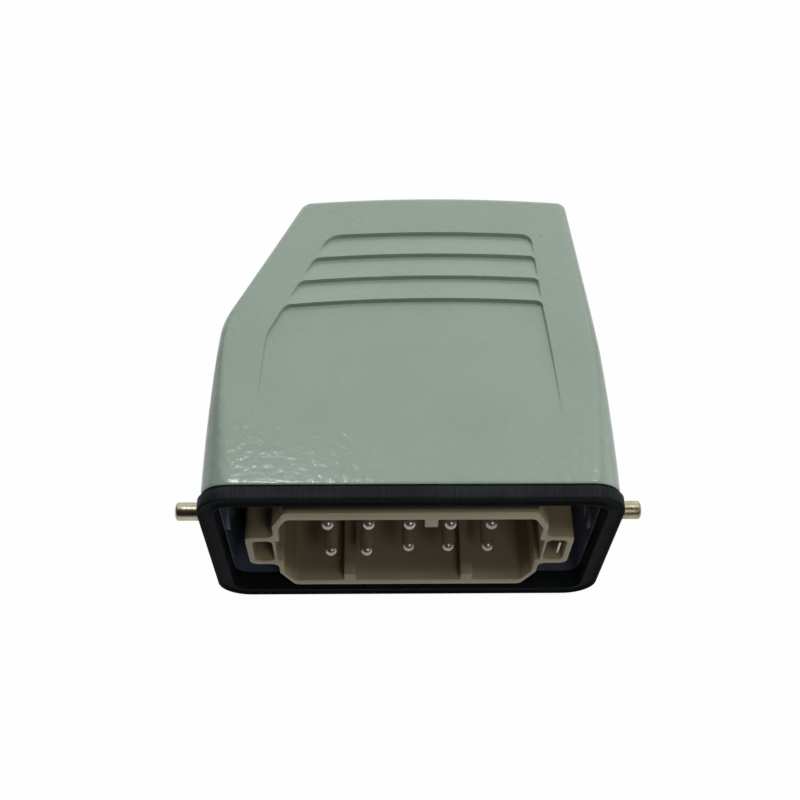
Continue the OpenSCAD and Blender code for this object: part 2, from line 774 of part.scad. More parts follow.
module earth_clamps() {
    hole_r = earth_screw_d / 2 + screw_gap;
    back = seat_y + clamp_th;
    color("#b3b1a9")
        for (side = [-1, 1])
            difference() {
                translate([side * earth_x, seat_y, earth_screw_z])
                    block(-clamp_side / 2, clamp_side / 2, 0, clamp_th, -clamp_side / 2, clamp_side / 2);
                rod(side * earth_x, earth_screw_z, hole_r, seat_y - over, back + over);
            }
}

module earth_screws() {
    color("#b3b1a9")
        for (side = [-1, 1])
            translate([side * earth_x, flange_rear, earth_screw_z])
                rotate([-90, 0, 0])
                    slotted_screw(earth_screw_d, earth_sheet + clamp_th, earth_head_d, earth_head_h);
}

module fixing_screws() {
    length = fixing_grip + seat_y - flange_front;
    color("#b3b1a9")
        at_fixings()
            translate([0, seat_y + fixing_grip, 0])
                rotate([90, 0, 0])
                    slotted_screw(fixing_d, length, fixing_head_d, fixing_head_h);
}

hood_shell();
rim_gasket();
locking_peg(-1);  // locking_peg_left
locking_peg(1);  // locking_peg_right
insert_body();
for (k = [1:poles]) contact_pin(k);
for (k = [1:poles]) wire_guard(k);
terminal_screws();
earth_plate(-1);  // earth_plate_left
earth_plate(1);  // earth_plate_right
earth_screws();
earth_clamps();
fixing_screws();
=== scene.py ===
import math

import bmesh
import bpy
import numpy as np
from mathutils import Matrix, Vector


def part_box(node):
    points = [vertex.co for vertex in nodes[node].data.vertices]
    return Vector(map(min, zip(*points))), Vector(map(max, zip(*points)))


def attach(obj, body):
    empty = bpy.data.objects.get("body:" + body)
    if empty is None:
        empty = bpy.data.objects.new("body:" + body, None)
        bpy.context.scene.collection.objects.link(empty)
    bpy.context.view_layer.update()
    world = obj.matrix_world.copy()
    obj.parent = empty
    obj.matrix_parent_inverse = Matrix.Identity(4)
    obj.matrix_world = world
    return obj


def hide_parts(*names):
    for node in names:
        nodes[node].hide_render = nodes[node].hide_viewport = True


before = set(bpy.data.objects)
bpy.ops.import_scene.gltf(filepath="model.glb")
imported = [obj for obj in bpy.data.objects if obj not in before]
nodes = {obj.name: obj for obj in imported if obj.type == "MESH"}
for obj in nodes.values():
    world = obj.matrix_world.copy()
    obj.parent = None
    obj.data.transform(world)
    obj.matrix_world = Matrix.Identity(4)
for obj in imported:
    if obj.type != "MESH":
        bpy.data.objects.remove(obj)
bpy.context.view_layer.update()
scene = bpy.context.scene
scene.view_settings.view_transform = "Standard"
mm = 0.001
print("frame loaded with", len(nodes), "nodes")


# Camera at the photograph's angle: its place in millimetres of the frame, its turns in degrees
camera = {
    "place": (-5.318, -83.847, 195.441),
    "pitchDown": 59.361,
    "yaw": 1.956,
    "roll": 1.559,
    "focalPixels": 1161.09,
    "framePixels": 800,
    "sensor": 36.0,
    "nearest": 0.01,  # metres
}


def placeCamera():
    lens = bpy.data.cameras.new("lens")
    lens.sensor_width = camera["sensor"]
    lens.lens = camera["sensor"] * camera["focalPixels"] / camera["framePixels"]
    lens.clip_start = camera["nearest"]
    pitch, yaw, roll = (math.radians(camera[k]) for k in ("pitchDown", "yaw", "roll"))
    ahead = Vector((math.sin(yaw) * math.cos(pitch), math.cos(yaw) * math.cos(pitch), -math.sin(pitch)))
    level = Vector((math.cos(yaw), -math.sin(yaw), 0))
    upright = level.cross(ahead)
    right = level * math.cos(roll) + upright * math.sin(roll)
    up = upright * math.cos(roll) - level * math.sin(roll)
    holder = bpy.data.objects.new("camera", lens)
    turn = Matrix((right, up, -ahead)).transposed().to_4x4()
    holder.matrix_world = Matrix.Translation(Vector(camera["place"]) * mm) @ turn
    scene.collection.objects.link(holder)
    scene.camera = holder


placeCamera()
print("camera placed")


# A shader socket on which Python arithmetic adds Math nodes
class Socket:
    def __init__(self, shader, link):
        self.shader = shader
        self.link = link

    def __add__(self, other):
        return self.shader.math("ADD", self, other)

    def __sub__(self, other):
        return self.shader.math("SUBTRACT", self, other)

    def __rsub__(self, other):
        return self.shader.math("SUBTRACT", other, self)

    def __mul__(self, other):
        return self.shader.math("MULTIPLY", self, other)

    __radd__ = __add__
    __rmul__ = __mul__


# A node tree that is written as expressions
class Shader:
    def __init__(self, owner):
        owner.use_nodes = True
        self.owner = owner
        self.tree = owner.node_tree
        self.tree.nodes.clear()

    def node(self, kind, settings=None, sockets=None, output=0):
        made = self.tree.nodes.new(kind)
        for key, value in (settings or {}).items():
            setattr(made, key, value)
        for key, value in (sockets or {}).items():
            if isinstance(value, Socket):
                self.tree.links.new(value.link, made.inputs[key])
            else:
                made.inputs[key].default_value = value
        return Socket(self, made.outputs[output] if len(made.outputs) else None)

    def math(self, operation, first, second):
        return self.node("ShaderNodeMath", {"operation": operation}, {0: first, 1: second})

    def blend(self, first, second, share):
        return first * (1 - share) + second * share

    def mix(self, share, first, second):  # inputs 6 and 7 and output 2 are the node's colours
        return self.node("ShaderNodeMix", {"data_type": "RGBA"}, {0: share, 6: first, 7: second}, 2)

    def fade(self, value, low, high):
        return self.node("ShaderNodeMapRange", {"interpolation_type": "SMOOTHSTEP"},
                         {"Value": value, "From Min": low, "From Max": high})

    def place(self):
        return self.node("ShaderNodeTexCoord", output="Object")

    def along(self, axis, where):
        return self.node("ShaderNodeSeparateXYZ", None, {"Vector": where}, axis)

    def noise(self, where, scale, detail, roughness=0.5):
        return self.node("ShaderNodeTexNoise", None,
                         {"Vector": where, "Scale": scale, "Detail": detail, "Roughness": roughness})

    def stretch(self, where, scale):
        return self.node("ShaderNodeMapping", None, {"Vector": where, "Scale": scale})

    def relief(self, height, depth):
        return self.node("ShaderNodeBump", None, {"Height": height, "Distance": depth, "Strength": 1.0})

    def surface(self, sockets):
        body = self.node("ShaderNodeBsdfPrincipled", None, sockets)
        self.node("ShaderNodeOutputMaterial", None, {"Surface": body})
        return self.owner


def newShader(name):
    return Shader(bpy.data.materials.new(name))


def grey(level):
    return (level, level, level, 1.0)


# In the finishes a noise is its scale, detail and roughness, and depths are in metres

# Grey-green powder coat with an orange-peel skin
coat = {
    "colour": (0.293, 0.373, 0.313, 1.0),
    "shade": (0.269, 0.344, 0.285, 1.0),
    "mottle": (70.0, 3.0),
    "mottleFade": (0.35, 0.65),
    "grain": (1500.0, 2.0),
    "grainShare": 0.4,
    "speckColour": (0.14, 0.16, 0.14, 1.0),
    "speckScale": 130.0,
    "speckSize": (0.022, 0.036),
    "speckStrength": 0.5,
    "peel": (680.0, 1.0, 0.4),
    "finePeel": (1500.0, 1.0, 0.4),
    "finePeelShare": 0.18,
    "peelDepth": 0.00010,
    "roughness": 0.17,
    "roughnessSpread": 0.07,
}


def powderCoat():
    s = newShader("powderCoat")
    where = s.place()
    mottle = s.fade(s.noise(where, *coat["mottle"]), *coat["mottleFade"])
    grain = s.noise(where, *coat["grain"])
    gap = s.node("ShaderNodeTexVoronoi", None, {"Vector": where, "Scale": coat["speckScale"]}, "Distance")
    speck = 1 - s.fade(gap, *coat["speckSize"])
    colour = s.mix(s.blend(mottle, grain, coat["grainShare"]), coat["colour"], coat["shade"])
    colour = s.mix(speck * coat["speckStrength"], colour, coat["speckColour"])
    height = s.noise(where, *coat["peel"]) + s.noise(where, *coat["finePeel"]) * coat["finePeelShare"]
    return s.surface({
        "Base Color": colour,
        "Roughness": coat["roughness"] + coat["roughnessSpread"] * grain,
        "Normal": s.relief(height, coat["peelDepth"]),
    })


# Dark cast metal inside the hood
casting = {
    "colour": (0.120, 0.138, 0.210, 1.0),
    "shade": (0.080, 0.092, 0.145, 1.0),
    "cloud": (260.0, 4.0, 0.6),
    "cloudFade": (0.3, 0.7),
    "grain": (2080.0, 2.0),
    "relief": 0.00004,
    "roughness": 0.42,
    "roughnessSpread": 0.2,
    "metallic": 0.2,
}


def castMetal():
    s = newShader("castMetal")
    where = s.place()
    cloud = s.noise(where, *casting["cloud"])
    grain = s.noise(where, *casting["grain"])
    return s.surface({
        "Base Color": s.mix(s.fade(cloud, *casting["cloudFade"]), casting["colour"], casting["shade"]),
        "Roughness": casting["roughness"] + casting["roughnessSpread"] * cloud,
        "Metallic": casting["metallic"],
        "Normal": s.relief(grain, casting["relief"]),
    })


# Black moulded rubber with dust in its grain and a thin film behind its front
rubber = {
    "colour": (0.0115, 0.0125, 0.0145, 1.0),
    "dust": (0.0215, 0.0275, 0.0255, 1.0),
    "dustFade": (0.42, 0.68),
    "dustStrength": 0.75,
    "cloud": (120.0, 3.0),
    "streak": (1.0, 2.0),
    "streakStretch": (2600.0, 180.0, 180.0),
    "streakShare": 0.4,
    "streakHeight": 0.5,
    "grain": (3200.0, 2.0),
    "relief": 0.00002,
    "roughness": 0.42,
    "roughnessSpread": 0.2,
    "gloss": 0.006,
    "film": 0.10,
    "filmFrom": (0.0003, 0.0006),
}


def moulding():
    s = newShader("sealRubber")
    where = s.place()
    cloud = s.noise(where, *rubber["cloud"])
    streak = s.noise(s.stretch(where, rubber["streakStretch"]), *rubber["streak"])
    grain = s.noise(where, *rubber["grain"])
    dust = s.fade(s.blend(cloud, streak, rubber["streakShare"]), *rubber["dustFade"])
    return s.surface({
        "Base Color": s.mix(dust * rubber["dustStrength"], rubber["colour"], rubber["dust"]),
        "Roughness": rubber["roughness"] + rubber["roughnessSpread"] * dust,
        "Specular IOR Level": rubber["gloss"],
        "Coat Weight": rubber["film"] * s.fade(s.along("Y", where), *rubber["filmFrom"]),
        "Coat Roughness": rubber["roughness"],
        "Normal": s.relief(grain + streak * rubber["streakHeight"], rubber["relief"]),
    })


# Warm grey filled plastic of the insert, with painted shade down its hollow and a painted shadow on the
# collar's upper side under the seal's lip
plastic = {
    "colour": (0.430, 0.369, 0.226, 1.0),
    "shade": (0.375, 0.315, 0.188, 1.0),
    "shadeFade": (0.35, 0.65),
    # painted shade: the colour the plastic takes down its hollow, where shade falls
    "deep": (0.225, 0.172, 0.104, 1.0),
    "paintedShadeFrom": (0.0003, 0.0030),
    # painted shadow: near-black on the collar's upper side just behind its front, under the seal's lip
    "top": (0.042, 0.034, 0.025, 1.0),
    "lipShadowFrom": (0.0154, 0.0157),
    "lipShadowIn": (0.0001, 0.0011),
    "cloud": (90.0, 3.0),
    "grain": (2600.0, 3.0, 0.6),
    "grainShare": 0.3,
    "relief": 0.000012,
    "roughness": 0.46,
    "roughnessSpread": 0.12,
}


def filledPlastic():
    s = newShader("insertPlastic")
    where = s.place()
    cloud = s.noise(where, *plastic["cloud"])
    grain = s.noise(where, *plastic["grain"])
    shade = s.fade(s.blend(cloud, grain, plastic["grainShare"]), *plastic["shadeFade"])
    colour = s.mix(shade, plastic["colour"], plastic["shade"])
    inward = s.along("Y", where)
    # painted shade: the colour turns deeper and browner down the hollow
    colour = s.mix(s.fade(inward, *plastic["paintedShadeFrom"]), colour, plastic["deep"])
    # painted shadow of the seal's lip on the collar's upper side
    top = s.fade(s.along("Z", where), *plastic["lipShadowFrom"]) * s.fade(inward, *plastic["lipShadowIn"])
    return s.surface({
        "Base Color": s.mix(top, colour, plastic["top"]),
        "Roughness": plastic["roughness"] + plastic["roughnessSpread"] * grain,
        "Normal": s.relief(grain, plastic["relief"]),
    })


# Bright metals, each with the marks of how it was made; the contacts grow rougher with depth, and their
# brown colour down the hollow is a painted reflection of the plastic
metals = {
    "contactSilver": {
        "colour": (0.43, 0.385, 0.35, 1.0),
        "shade": (0.31, 0.265, 0.23, 1.0),
        "roughness": 0.20,
        "stretch": (500.0, 2600.0, 500.0),
        "relief": 0.000004,
        # painted reflection: the brown the shafts take down the hollow, with less metal, in place of the
        # plastic they would reflect; the added roughness is real
        "dullAndPaintedReflection": (0.270, 0.225, 0.165, 1.0),
        "dullFrom": (0.0027, 0.0042),
        "hollowMetalLoss": 0.45,
        "dullRoughness": 0.25,
        "tipMetal": 0.70,
    },
    "pegSteel": {
        "colour": (0.43, 0.395, 0.295, 1.0),
        "shade": (0.29, 0.245, 0.150, 1.0),
        "roughness": 0.26,
        "stretch": (3800.0, 260.0, 260.0),
        "relief": 0.000012,
    },
    "screwZinc": {
        "colour": (0.56, 0.56, 0.55, 1.0),
        "shade": (0.42, 0.42, 0.42, 1.0),
        "roughness": 0.34,
        "stretch": (900.0, 900.0, 900.0),
        "relief": 0.000008,
    },
    "guardSteel": {
        "colour": (0.62, 0.62, 0.60, 1.0),
        "shade": (0.48, 0.48, 0.47, 1.0),
        "roughness": 0.28,
        "stretch": (2400.0, 300.0, 900.0),
        "relief": 0.000005,
    },
    "earthBrass": {
        "colour": (0.40, 0.375, 0.32, 1.0),
        "shade": (0.29, 0.265, 0.215, 1.0),
        "roughness": 0.30,
        "stretch": (900.0, 300.0, 2600.0),
        "relief": 0.000006,
    },
}
metalMarks = {
    "marks": (1.0, 3.0, 0.55),
    "marksShare": 0.4,
    "tarnish": (220.0, 3.0),
    "shadeFade": (0.35, 0.70),
    "roughnessSpread": 0.14,
}


def brightMetal(name):
    look = metals[name]
    s = newShader(name)
    where = s.place()
    marks = s.noise(s.stretch(where, look["stretch"]), *metalMarks["marks"])
    tarnish = s.noise(where, *metalMarks["tarnish"])
    shade = s.fade(s.blend(tarnish, marks, metalMarks["marksShare"]), *metalMarks["shadeFade"])
    colour = s.mix(shade, look["colour"], look["shade"])
    metallic = 1.0
    roughness = look["roughness"] + metalMarks["roughnessSpread"] * tarnish
    if "dullAndPaintedReflection" in look:
        # deeper down the contact grows rougher and less metallic, and its colour turns to the painted
        # reflection of the plastic
        dullAndPaintedReflection = s.fade(s.along("Y", where), *look["dullFrom"])
        colour = s.mix(dullAndPaintedReflection, colour, look["dullAndPaintedReflection"])
        metallic = look["tipMetal"] - look["hollowMetalLoss"] * dullAndPaintedReflection
        roughness = roughness + look["dullRoughness"] * dullAndPaintedReflection
    return s.surface({
        "Base Color": colour,
        "Metallic": metallic,
        "Roughness": roughness,
        "Normal": s.relief(marks, look["relief"]),
    })


finishes = {name: brightMetal(name) for name in metals}
finishes["powderCoat"] = powderCoat()
finishes["castMetal"] = castMetal()
finishes["sealRubber"] = moulding()
finishes["insertPlastic"] = filledPlastic()
print("finishes made:", len(finishes))


# Mesh tools, all in millimetres
overrun = 1.0  # how far a cutter runs past what it cuts


def cornersOf(node):
    low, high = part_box(node)
    return np.array(low) / mm, np.array(high) / mm


def addMesh(name, points, faces):
    mesh = bpy.data.meshes.new(name)
    mesh.from_pydata((np.asarray(points, float) * mm).tolist(), [], faces)
    facing = bmesh.new()
    facing.from_mesh(mesh)
    bmesh.ops.recalc_face_normals(facing, faces=facing.faces)
    facing.to_mesh(mesh)
    facing.free()
    piece = bpy.data.objects.new(name, mesh)
    scene.collection.objects.link(piece)
    return piece


def ringFaces(rows, around, closed=False):
    faces = []
    for j in range(rows if closed else rows - 1):
        near, far = j * around, (j + 1) % rows * around
        for i in range(around):
            k = (i + 1) % around
            faces.append((near + i, near + k, far + k, far + i))
    return faces


def cut(piece, cutter):
    step = piece.modifiers.new("cut", "BOOLEAN")
    step.operation = "DIFFERENCE"
    step.solver = "MANIFOLD"
    step.object = cutter
    shaped = piece.evaluated_get(bpy.context.evaluated_depsgraph_get())
    mesh = bpy.data.meshes.new_from_object(shaped)
    piece.modifiers.clear()
    piece.data = mesh
    bpy.data.objects.remove(cutter)


def lathe(name, profile, origin, direction, segments):
    axis = Vector(direction).normalized()
    across = axis.orthogonal().normalized()
    other = axis.cross(across)
    points, rings = [], []
    for along, radius in profile:
        centre = Vector(origin) + axis * along
        turns = [2 * math.pi * i / segments for i in range(segments)] if radius > 0 else [0.0]
        rings.append(range(len(points), len(points) + len(turns)))
        points += [centre + (across * math.cos(a) + other * math.sin(a)) * radius for a in turns]
    faces = []
    for first, second in zip(rings, rings[1:]):
        for i in range(segments):
            pair = (i, (i + 1) % segments)
            corners = [first[j % len(first)] for j in pair]
            corners += [second[j % len(second)] for j in reversed(pair)]
            face = list(dict.fromkeys(corners))
            if len(face) > 2:
                faces.append(face)
    return addMesh(name, points, faces)


def rod(name, radius, start, end, segments):
    line = Vector(end) - Vector(start)
    profile = [(0, 0), (0, radius), (line.length, radius), (line.length, 0)]
    return lathe(name, profile, start, line, segments)


def prism(name, outline, nearY, farY):
    count = len(outline)
    points = [(x, y, z) for y in (nearY, farY) for x, z in outline]
    faces = ringFaces(2, count) + [list(range(count)), list(range(count, 2 * count))]
    return addMesh(name, points, faces)


def arc(centre, radius, start, end, steps):
    turns = np.radians(np.linspace(start, end, steps + 1))
    return [(centre[0] + radius * math.cos(a), centre[1] + radius * math.sin(a)) for a in turns]


def finishPiece(piece, node, materials, shadeAngle):
    piece.data.polygons.foreach_set("use_smooth", [True] * len(piece.data.polygons))
    piece.data.set_sharp_from_angle(angle=math.radians(shadeAngle))
    piece.data.materials.clear()
    for name in materials:
        piece.data.materials.append(finishes[name])
    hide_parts(node)
    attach(piece, "root")


# Hood: the same drafts, slant and roundings as the cast solid
gasketHigh = cornersOf("rim_gasket")[1]
hood = {
    "length": cornersOf("hood_shell")[1][1],
    "gasketProud": 0.5,
    "gasketBand": 2.4,
    "tongueFront": 1.3,
    "tongueInset": 0.27,
    "rebate": (2.23, 3.62),  # inset and depth
    "rebateSteps": 12,
    "sideDraft": (0.6, 5.5),  # degrees before and after the bow
    "faceDraft": (2.2, 2.5),
    "bow": (5.0, 43.0),
    "edgeRound": (5.5, 1.9),  # radius at the mouth and past the run
    "edgeRun": 32.0,
    "leastRound": 0.3,
    "endRadius": 280.0,
    "endCrown": 6.0,
    "endFillet": 1.1,
    "rimFillet": 1.3,
    "slantAngle": 26.0,
    "slantLength": 28.4,
    "slantBlend": 3.0,
    "wall": 2.6,
    "endWall": 3.0,
    "bendFrom": 3.0,
    "bendFull": 32.0,
    "skinDepth": 1.35,  # deeper faces are bare casting
    "gapShadowEdge": (3.16, 0.12),  # how far back and how deep the painted gap shadow reaches at the rim
    "gapShadowSlack": 0.1,
    "finishes": ["powderCoat", "castMetal", "sealRubber"],
    "shadeAngle": 30.0,
}
hood["halfWidth"] = gasketHigh[0] - hood["gasketProud"]
hood["halfThick"] = gasketHigh[2] - hood["gasketProud"]

louvre = {
    "count": 4,
    "pitch": 5.38,
    "fromEnd": 9.13,
    "fade": 16.0,
    "border": 9.05,
    "slantBorder": 8.55,
    "flare": 2.5,
    "lead": 3.3,
    "blend": 1.0,
    "depth": 0.9,
    "firstRound": 2.3,
    "nextRound": 1.2,
    "riser": 0.34,
    "sideWall": 0.25,
}


def bow(y, drafts):
    first, last = (math.tan(math.radians(d)) for d in drafts)
    start, end = hood["bow"]
    run = np.clip(y - start, 0, end - start)
    return first * y + (last - first) * (run ** 2 / (2 * (end - start)) + np.maximum(y - end, 0))


def halfWidth(y):
    return hood["halfWidth"] - bow(y, hood["sideDraft"])


def halfThick(y):
    return hood["halfThick"] - bow(y, hood["faceDraft"])


def slantShift(y, blend):
    rise = math.tan(math.radians(hood["slantAngle"])) - math.tan(math.radians(hood["sideDraft"][1]))
    past = y - (hood["length"] - hood["slantLength"])
    curve = np.clip(past + blend, 0, 2 * blend) ** 2 / (4 * blend)
    return rise * np.where(past > blend, past, curve)


def leftSide(y):
    return slantShift(y, hood["slantBlend"]) - halfWidth(y)


def edgeRound(y):
    first, last = hood["edgeRound"]
    return first + (last - first) * np.minimum(y / hood["edgeRun"], 1)


def endSag(x):
    return (x - hood["endCrown"]) ** 2 / (2 * hood["endRadius"])


def castBend(y):
    start = hood["bow"][0]
    return np.maximum(0, (y - start) / (hood["length"] - start))


def smoothStep(value):
    share = np.clip(value, 0, 1)
    return share * share * (3 - 2 * share)


def louvreLine(k):
    return hood["length"] - louvre["fromEnd"] - k * louvre["pitch"]


def louvreLeft(y):
    return louvre["slantBorder"] - halfWidth(y) + slantShift(y + louvre["lead"], louvre["blend"])


def louvreRight(y):
    past = np.maximum(y - louvreLine(louvre["count"] - 1), 0)
    return halfWidth(y) - louvre["border"] + math.tan(math.radians(louvre["flare"])) * past


# How far the stepped panel lies under the broad face
def louvreDepth(x, y):
    level = y + endSag(x)
    side = np.minimum(x - louvreLeft(level), louvreRight(level) - x)
    depth = np.zeros_like(x)
    for k in range(louvre["count"]):
        step = louvreLine(k)
        rampEnd = louvreLine(k + 1) if k + 1 < louvre["count"] else louvre["fade"]
        r = louvre["firstRound"] if k == 0 else louvre["nextRound"]
        near = np.clip(side, 0, r)
        corner = r - np.sqrt(near * (2 * r - near))
        ramp = np.clip((level - rampEnd) / (step - rampEnd), 0, 1)
        drop = smoothStep((step - corner - level) / louvre["riser"])
        depth = np.maximum(depth, louvre["depth"] * ramp * drop)
    return depth * smoothStep(side / louvre["sideWall"])


# Columns and rows of the skin's mesh, closest together at the louvres and their panel's sides
skinGrid = {
    "edge": (0, 0.1, 0.2, 0.3, 0.4, 0.5, 0.6, 0.8, 1.1, 1.5, 2.0, 2.6, 3.3, 4.2),
    "middle": 36,
    "border": (0, 0.25, 0.5, 0.7, 0.84, 0.93),  # shares of the stretch beside the panel
    "side": 8,
    "turn": 9,
    "plainRow": 0.8,
    "panelRow": 0.25,
    "pastPanel": 1.0,
    "stepReach": 0.1,
    "stepRows": 9,
    "endRows": 8,
    "leastRow": 0.03,
    "rimRows": 6,
    "filletRows": 9,
    "hollowRows": 60,
    "settle": 6,  # passes that settle a ring on the bent casting
}


# Columns of the upper half of the skin: which stretch each lies on, and its share of that stretch
def skinColumns():
    panelWidth = 2 * (hood["halfWidth"] - louvre["border"])
    edge = np.array(skinGrid["edge"]) / panelWidth
    middle = np.linspace(edge[-1], 1 - edge[-1], skinGrid["middle"])[1:-1]
    border = np.array(skinGrid["border"])
    side = np.arange(skinGrid["side"]) / skinGrid["side"]
    turn = np.arange(skinGrid["turn"]) / skinGrid["turn"]
    stretches = [side, turn, border, np.concatenate([edge, middle, 1 - edge[::-1]]),
                 1 - border[::-1], 1 - turn[::-1], 1 - side[::-1]]
    kind = np.concatenate([np.full(len(s), k) for k, s in enumerate(stretches)])
    return kind, np.concatenate(stretches)


columnKind, columnShare = skinColumns()
broadFace = np.isin(columnKind, (2, 3, 4))  # the panel and the borders beside it
sideCount = skinGrid["side"]


def upperHalf(cast, level, inset):
    left, right = leftSide(cast) + inset, halfWidth(cast) - inset
    top = halfThick(cast) - inset
    r = np.maximum(edgeRound(cast) - inset, hood["leastRound"])
    panelLeft, panelRight = louvreLeft(level), louvreRight(level)
    turn = columnShare * math.pi / 2
    kinds = [columnKind == k for k in np.unique(columnKind)]
    x = np.select(kinds, [
        left,
        left + r - r * np.cos(turn),
        left + r + (panelLeft - left - r) * columnShare,
        panelLeft + (panelRight - panelLeft) * columnShare,
        panelRight + (right - r - panelRight) * columnShare,
        right - r + r * np.sin(turn),
        right,
    ])
    z = np.select(kinds, [
        (top - r) * columnShare,
        top - r + r * np.sin(turn),
        top, top, top,
        top - r + r * np.cos(turn),
        (top - r) * (1 - columnShare),
    ])
    return x, z


# One ring of the skin, from the upper half and its mirror image
def skinRing(row, inset=0.0, bend=None, carved=False):
    cast = np.full(len(columnKind), float(row))
    level = cast.copy()
    share = castBend(row) if bend is None else bend
    for _ in range(skinGrid["settle"]):
        x, z = upperHalf(cast, level, inset)
        y = row - share * endSag(x)
        level = y + endSag(x)
        if carved:
            cast = y + castBend(cast) * endSag(x)
    if carved:
        z = z - np.where(broadFace, louvreDepth(x, y), 0)
    upper = np.stack([x, y, z], 1)
    lower = upper[-2:0:-1] * (1, 1, -1)
    return np.concatenate([upper, lower])


# Closes an end ring with a grid between its upper and lower points
def capFaces(points, start, ring):
    last = len(columnKind) - 1

    def below(i):
        return start + (i if i in (0, last) else len(ring) - i)

    lines = [[below(i) for i in range(sideCount, 0, -1)] + [start + i for i in range(sideCount + 1)]]
    shares = np.linspace(-1, 1, 2 * sideCount + 1)[1:-1]
    for i in range(sideCount + 1, last - sideCount):
        x, y, z = ring[i]
        inner = list(range(len(points), len(points) + len(shares)))
        points += [(x, y, z * s) for s in shares]
        lines.append([below(i)] + inner + [start + i])
    lines.append([below(last - i) for i in range(sideCount, 0, -1)]
                 + [start + last - i for i in range(sideCount + 1)])
    return [(a[i], a[i + 1], b[i + 1], b[i])
            for a, b in zip(lines, lines[1:]) for i in range(2 * sideCount)]


def skinSolid(name, rings):
    points = [tuple(p) for ring in rings for p in ring]
    around = len(rings[0])
    faces = ringFaces(len(rings), around)
    faces += capFaces(points, 0, rings[0])
    faces += capFaces(points, (len(rings) - 1) * around, rings[-1])
    return addMesh(name, points, faces)


def skinRows():
    g = skinGrid
    start = hood["gasketBand"] + hood["rimFillet"]
    end = hood["length"] - hood["endFillet"]
    panelStart, panelEnd = louvreLine(louvre["count"]), louvreLine(0) + g["pastPanel"]
    plain = np.arange(start, panelStart, g["plainRow"])
    panel = np.arange(panelStart, panelEnd, g["panelRow"])
    across = np.linspace(-g["stepReach"], louvre["riser"] + g["stepReach"], g["stepRows"])
    steps = [louvreLine(k) - s for k in range(louvre["count"]) for s in across]
    last = np.linspace(panelEnd, end, g["endRows"])
    rows = np.unique(np.round(np.concatenate([plain, panel, steps, last]), 3))
    return rows[np.insert(np.diff(rows) > g["leastRow"], 0, True)]


def outerSkin():
    fillet, rim = hood["endFillet"], hood["rimFillet"]
    front = hood["gasketBand"]
    rimTurn = math.acos(1 - hood["tongueInset"] / rim)
    rings = [skinRing(y, hood["tongueInset"], 0.0) for y in (hood["tongueFront"], front)]
    for a in np.linspace(rimTurn, 0, skinGrid["rimRows"])[:-1]:
        rings.append(skinRing(front + rim * (1 - math.sin(a)), rim * (1 - math.cos(a)), 0.0))
    for row in skinRows():
        share = smoothStep((row - hood["bendFrom"]) / (hood["bendFull"] - hood["bendFrom"]))
        rings.append(skinRing(row, 0.0, share, carved=True))
    for a in np.radians(np.linspace(0, 90, skinGrid["filletRows"]))[1:]:
        back, inset = fillet * (1 - math.sin(a)), fillet * (1 - math.cos(a))
        rings.append(skinRing(hood["length"] - back, inset, 1.0))
    return skinSolid("hoodShell", rings)


# Columns in the hood's corners that take the fixing screws
fixing = {
    "boss": 4.2,
    "bossSteps": 10,
    "bore": 2.02,
    "boreSides": 32,
    "grip": 10.0,
    "lead": 0.01,
    "headRadius": 3.4,
}
screwHigh = cornersOf("fixing_screws")[1]
fixing["x"] = screwHigh[0] - fixing["headRadius"]
fixing["z"] = screwHigh[2] - fixing["headRadius"]
fixing["seat"] = cornersOf("earth_plate_right")[1][1]


def fixingColumn(signX, signZ):
    reach, r = hood["halfWidth"], fixing["boss"]
    x, z = fixing["x"], fixing["z"]
    outline = [(x + reach, z - r)] + arc((x, z), r, 270, 180, fixing["bossSteps"])
    outline += [(x - r, z + reach), (x + reach, z + reach)]
    outline = [(px * signX, pz * signZ) for px, pz in outline]
    return prism("column", outline, fixing["seat"], hood["length"] + overrun)


# Threaded cable entry in the right side
entry = {
    "fromEnd": 19.8,
    "radius": 11.75,
    "length": 7.0,
    "threadDepth": 0.75,
    "threadPitch": 1.5,
    "threadSides": 72,
    "rowsPerTurn": 6,
    "grooveSlope": 1.15,
    "runOut": 0.3,
    "seatWidth": 3.4,
    "seatDepth": 0.4,
    "seatSides": 96,
    "chamfer": 0.9,
    "relief": 15.4,
}
entryY = hood["length"] - entry["fromEnd"]
draft = math.radians(hood["sideDraft"][1])
entry["place"] = Vector((float(halfWidth(entryY)), entryY, 0))
entry["axis"] = Vector((math.cos(draft), math.sin(draft), 0))


def entryAt(depth):
    return entry["place"] - entry["axis"] * depth


def entryRod(name, deep, shallow):
    wide = entry["radius"] + entry["seatWidth"]
    return rod(name, wide, entryAt(deep), entryAt(shallow), entry["seatSides"])


# Cutter whose wall carries the thread's helix
def threadCutter():
    around, pitch = entry["threadSides"], entry["threadPitch"]
    start = -entry["seatDepth"] - entry["length"] - entry["runOut"]
    end = -entry["seatDepth"] + overrun
    rows = int((end - start) / pitch * entry["rowsPerTurn"])
    across = entry["axis"].orthogonal().normalized()
    other = entry["axis"].cross(across)
    points = []
    for j in range(rows + 1):
        along = start + (end - start) * j / rows
        flare = max(0.0, along + entry["seatDepth"] + entry["chamfer"])
        for i in range(around):
            phase = (along / pitch - i / around) % 1.0
            groove = entry["threadDepth"] * max(0.0, 1 - abs(2 * phase - 1) * entry["grooveSlope"])
            r = entry["radius"] + max(groove, flare)
            a = 2 * math.pi * i / around
            out = (across * math.cos(a) + other * math.sin(a)) * r
            points.append(entry["place"] + entry["axis"] * along + out)
    faces = ringFaces(rows + 1, around)
    faces += [list(range(around)), list(range(rows * around, (rows + 1) * around))]
    return addMesh("thread", points, faces)


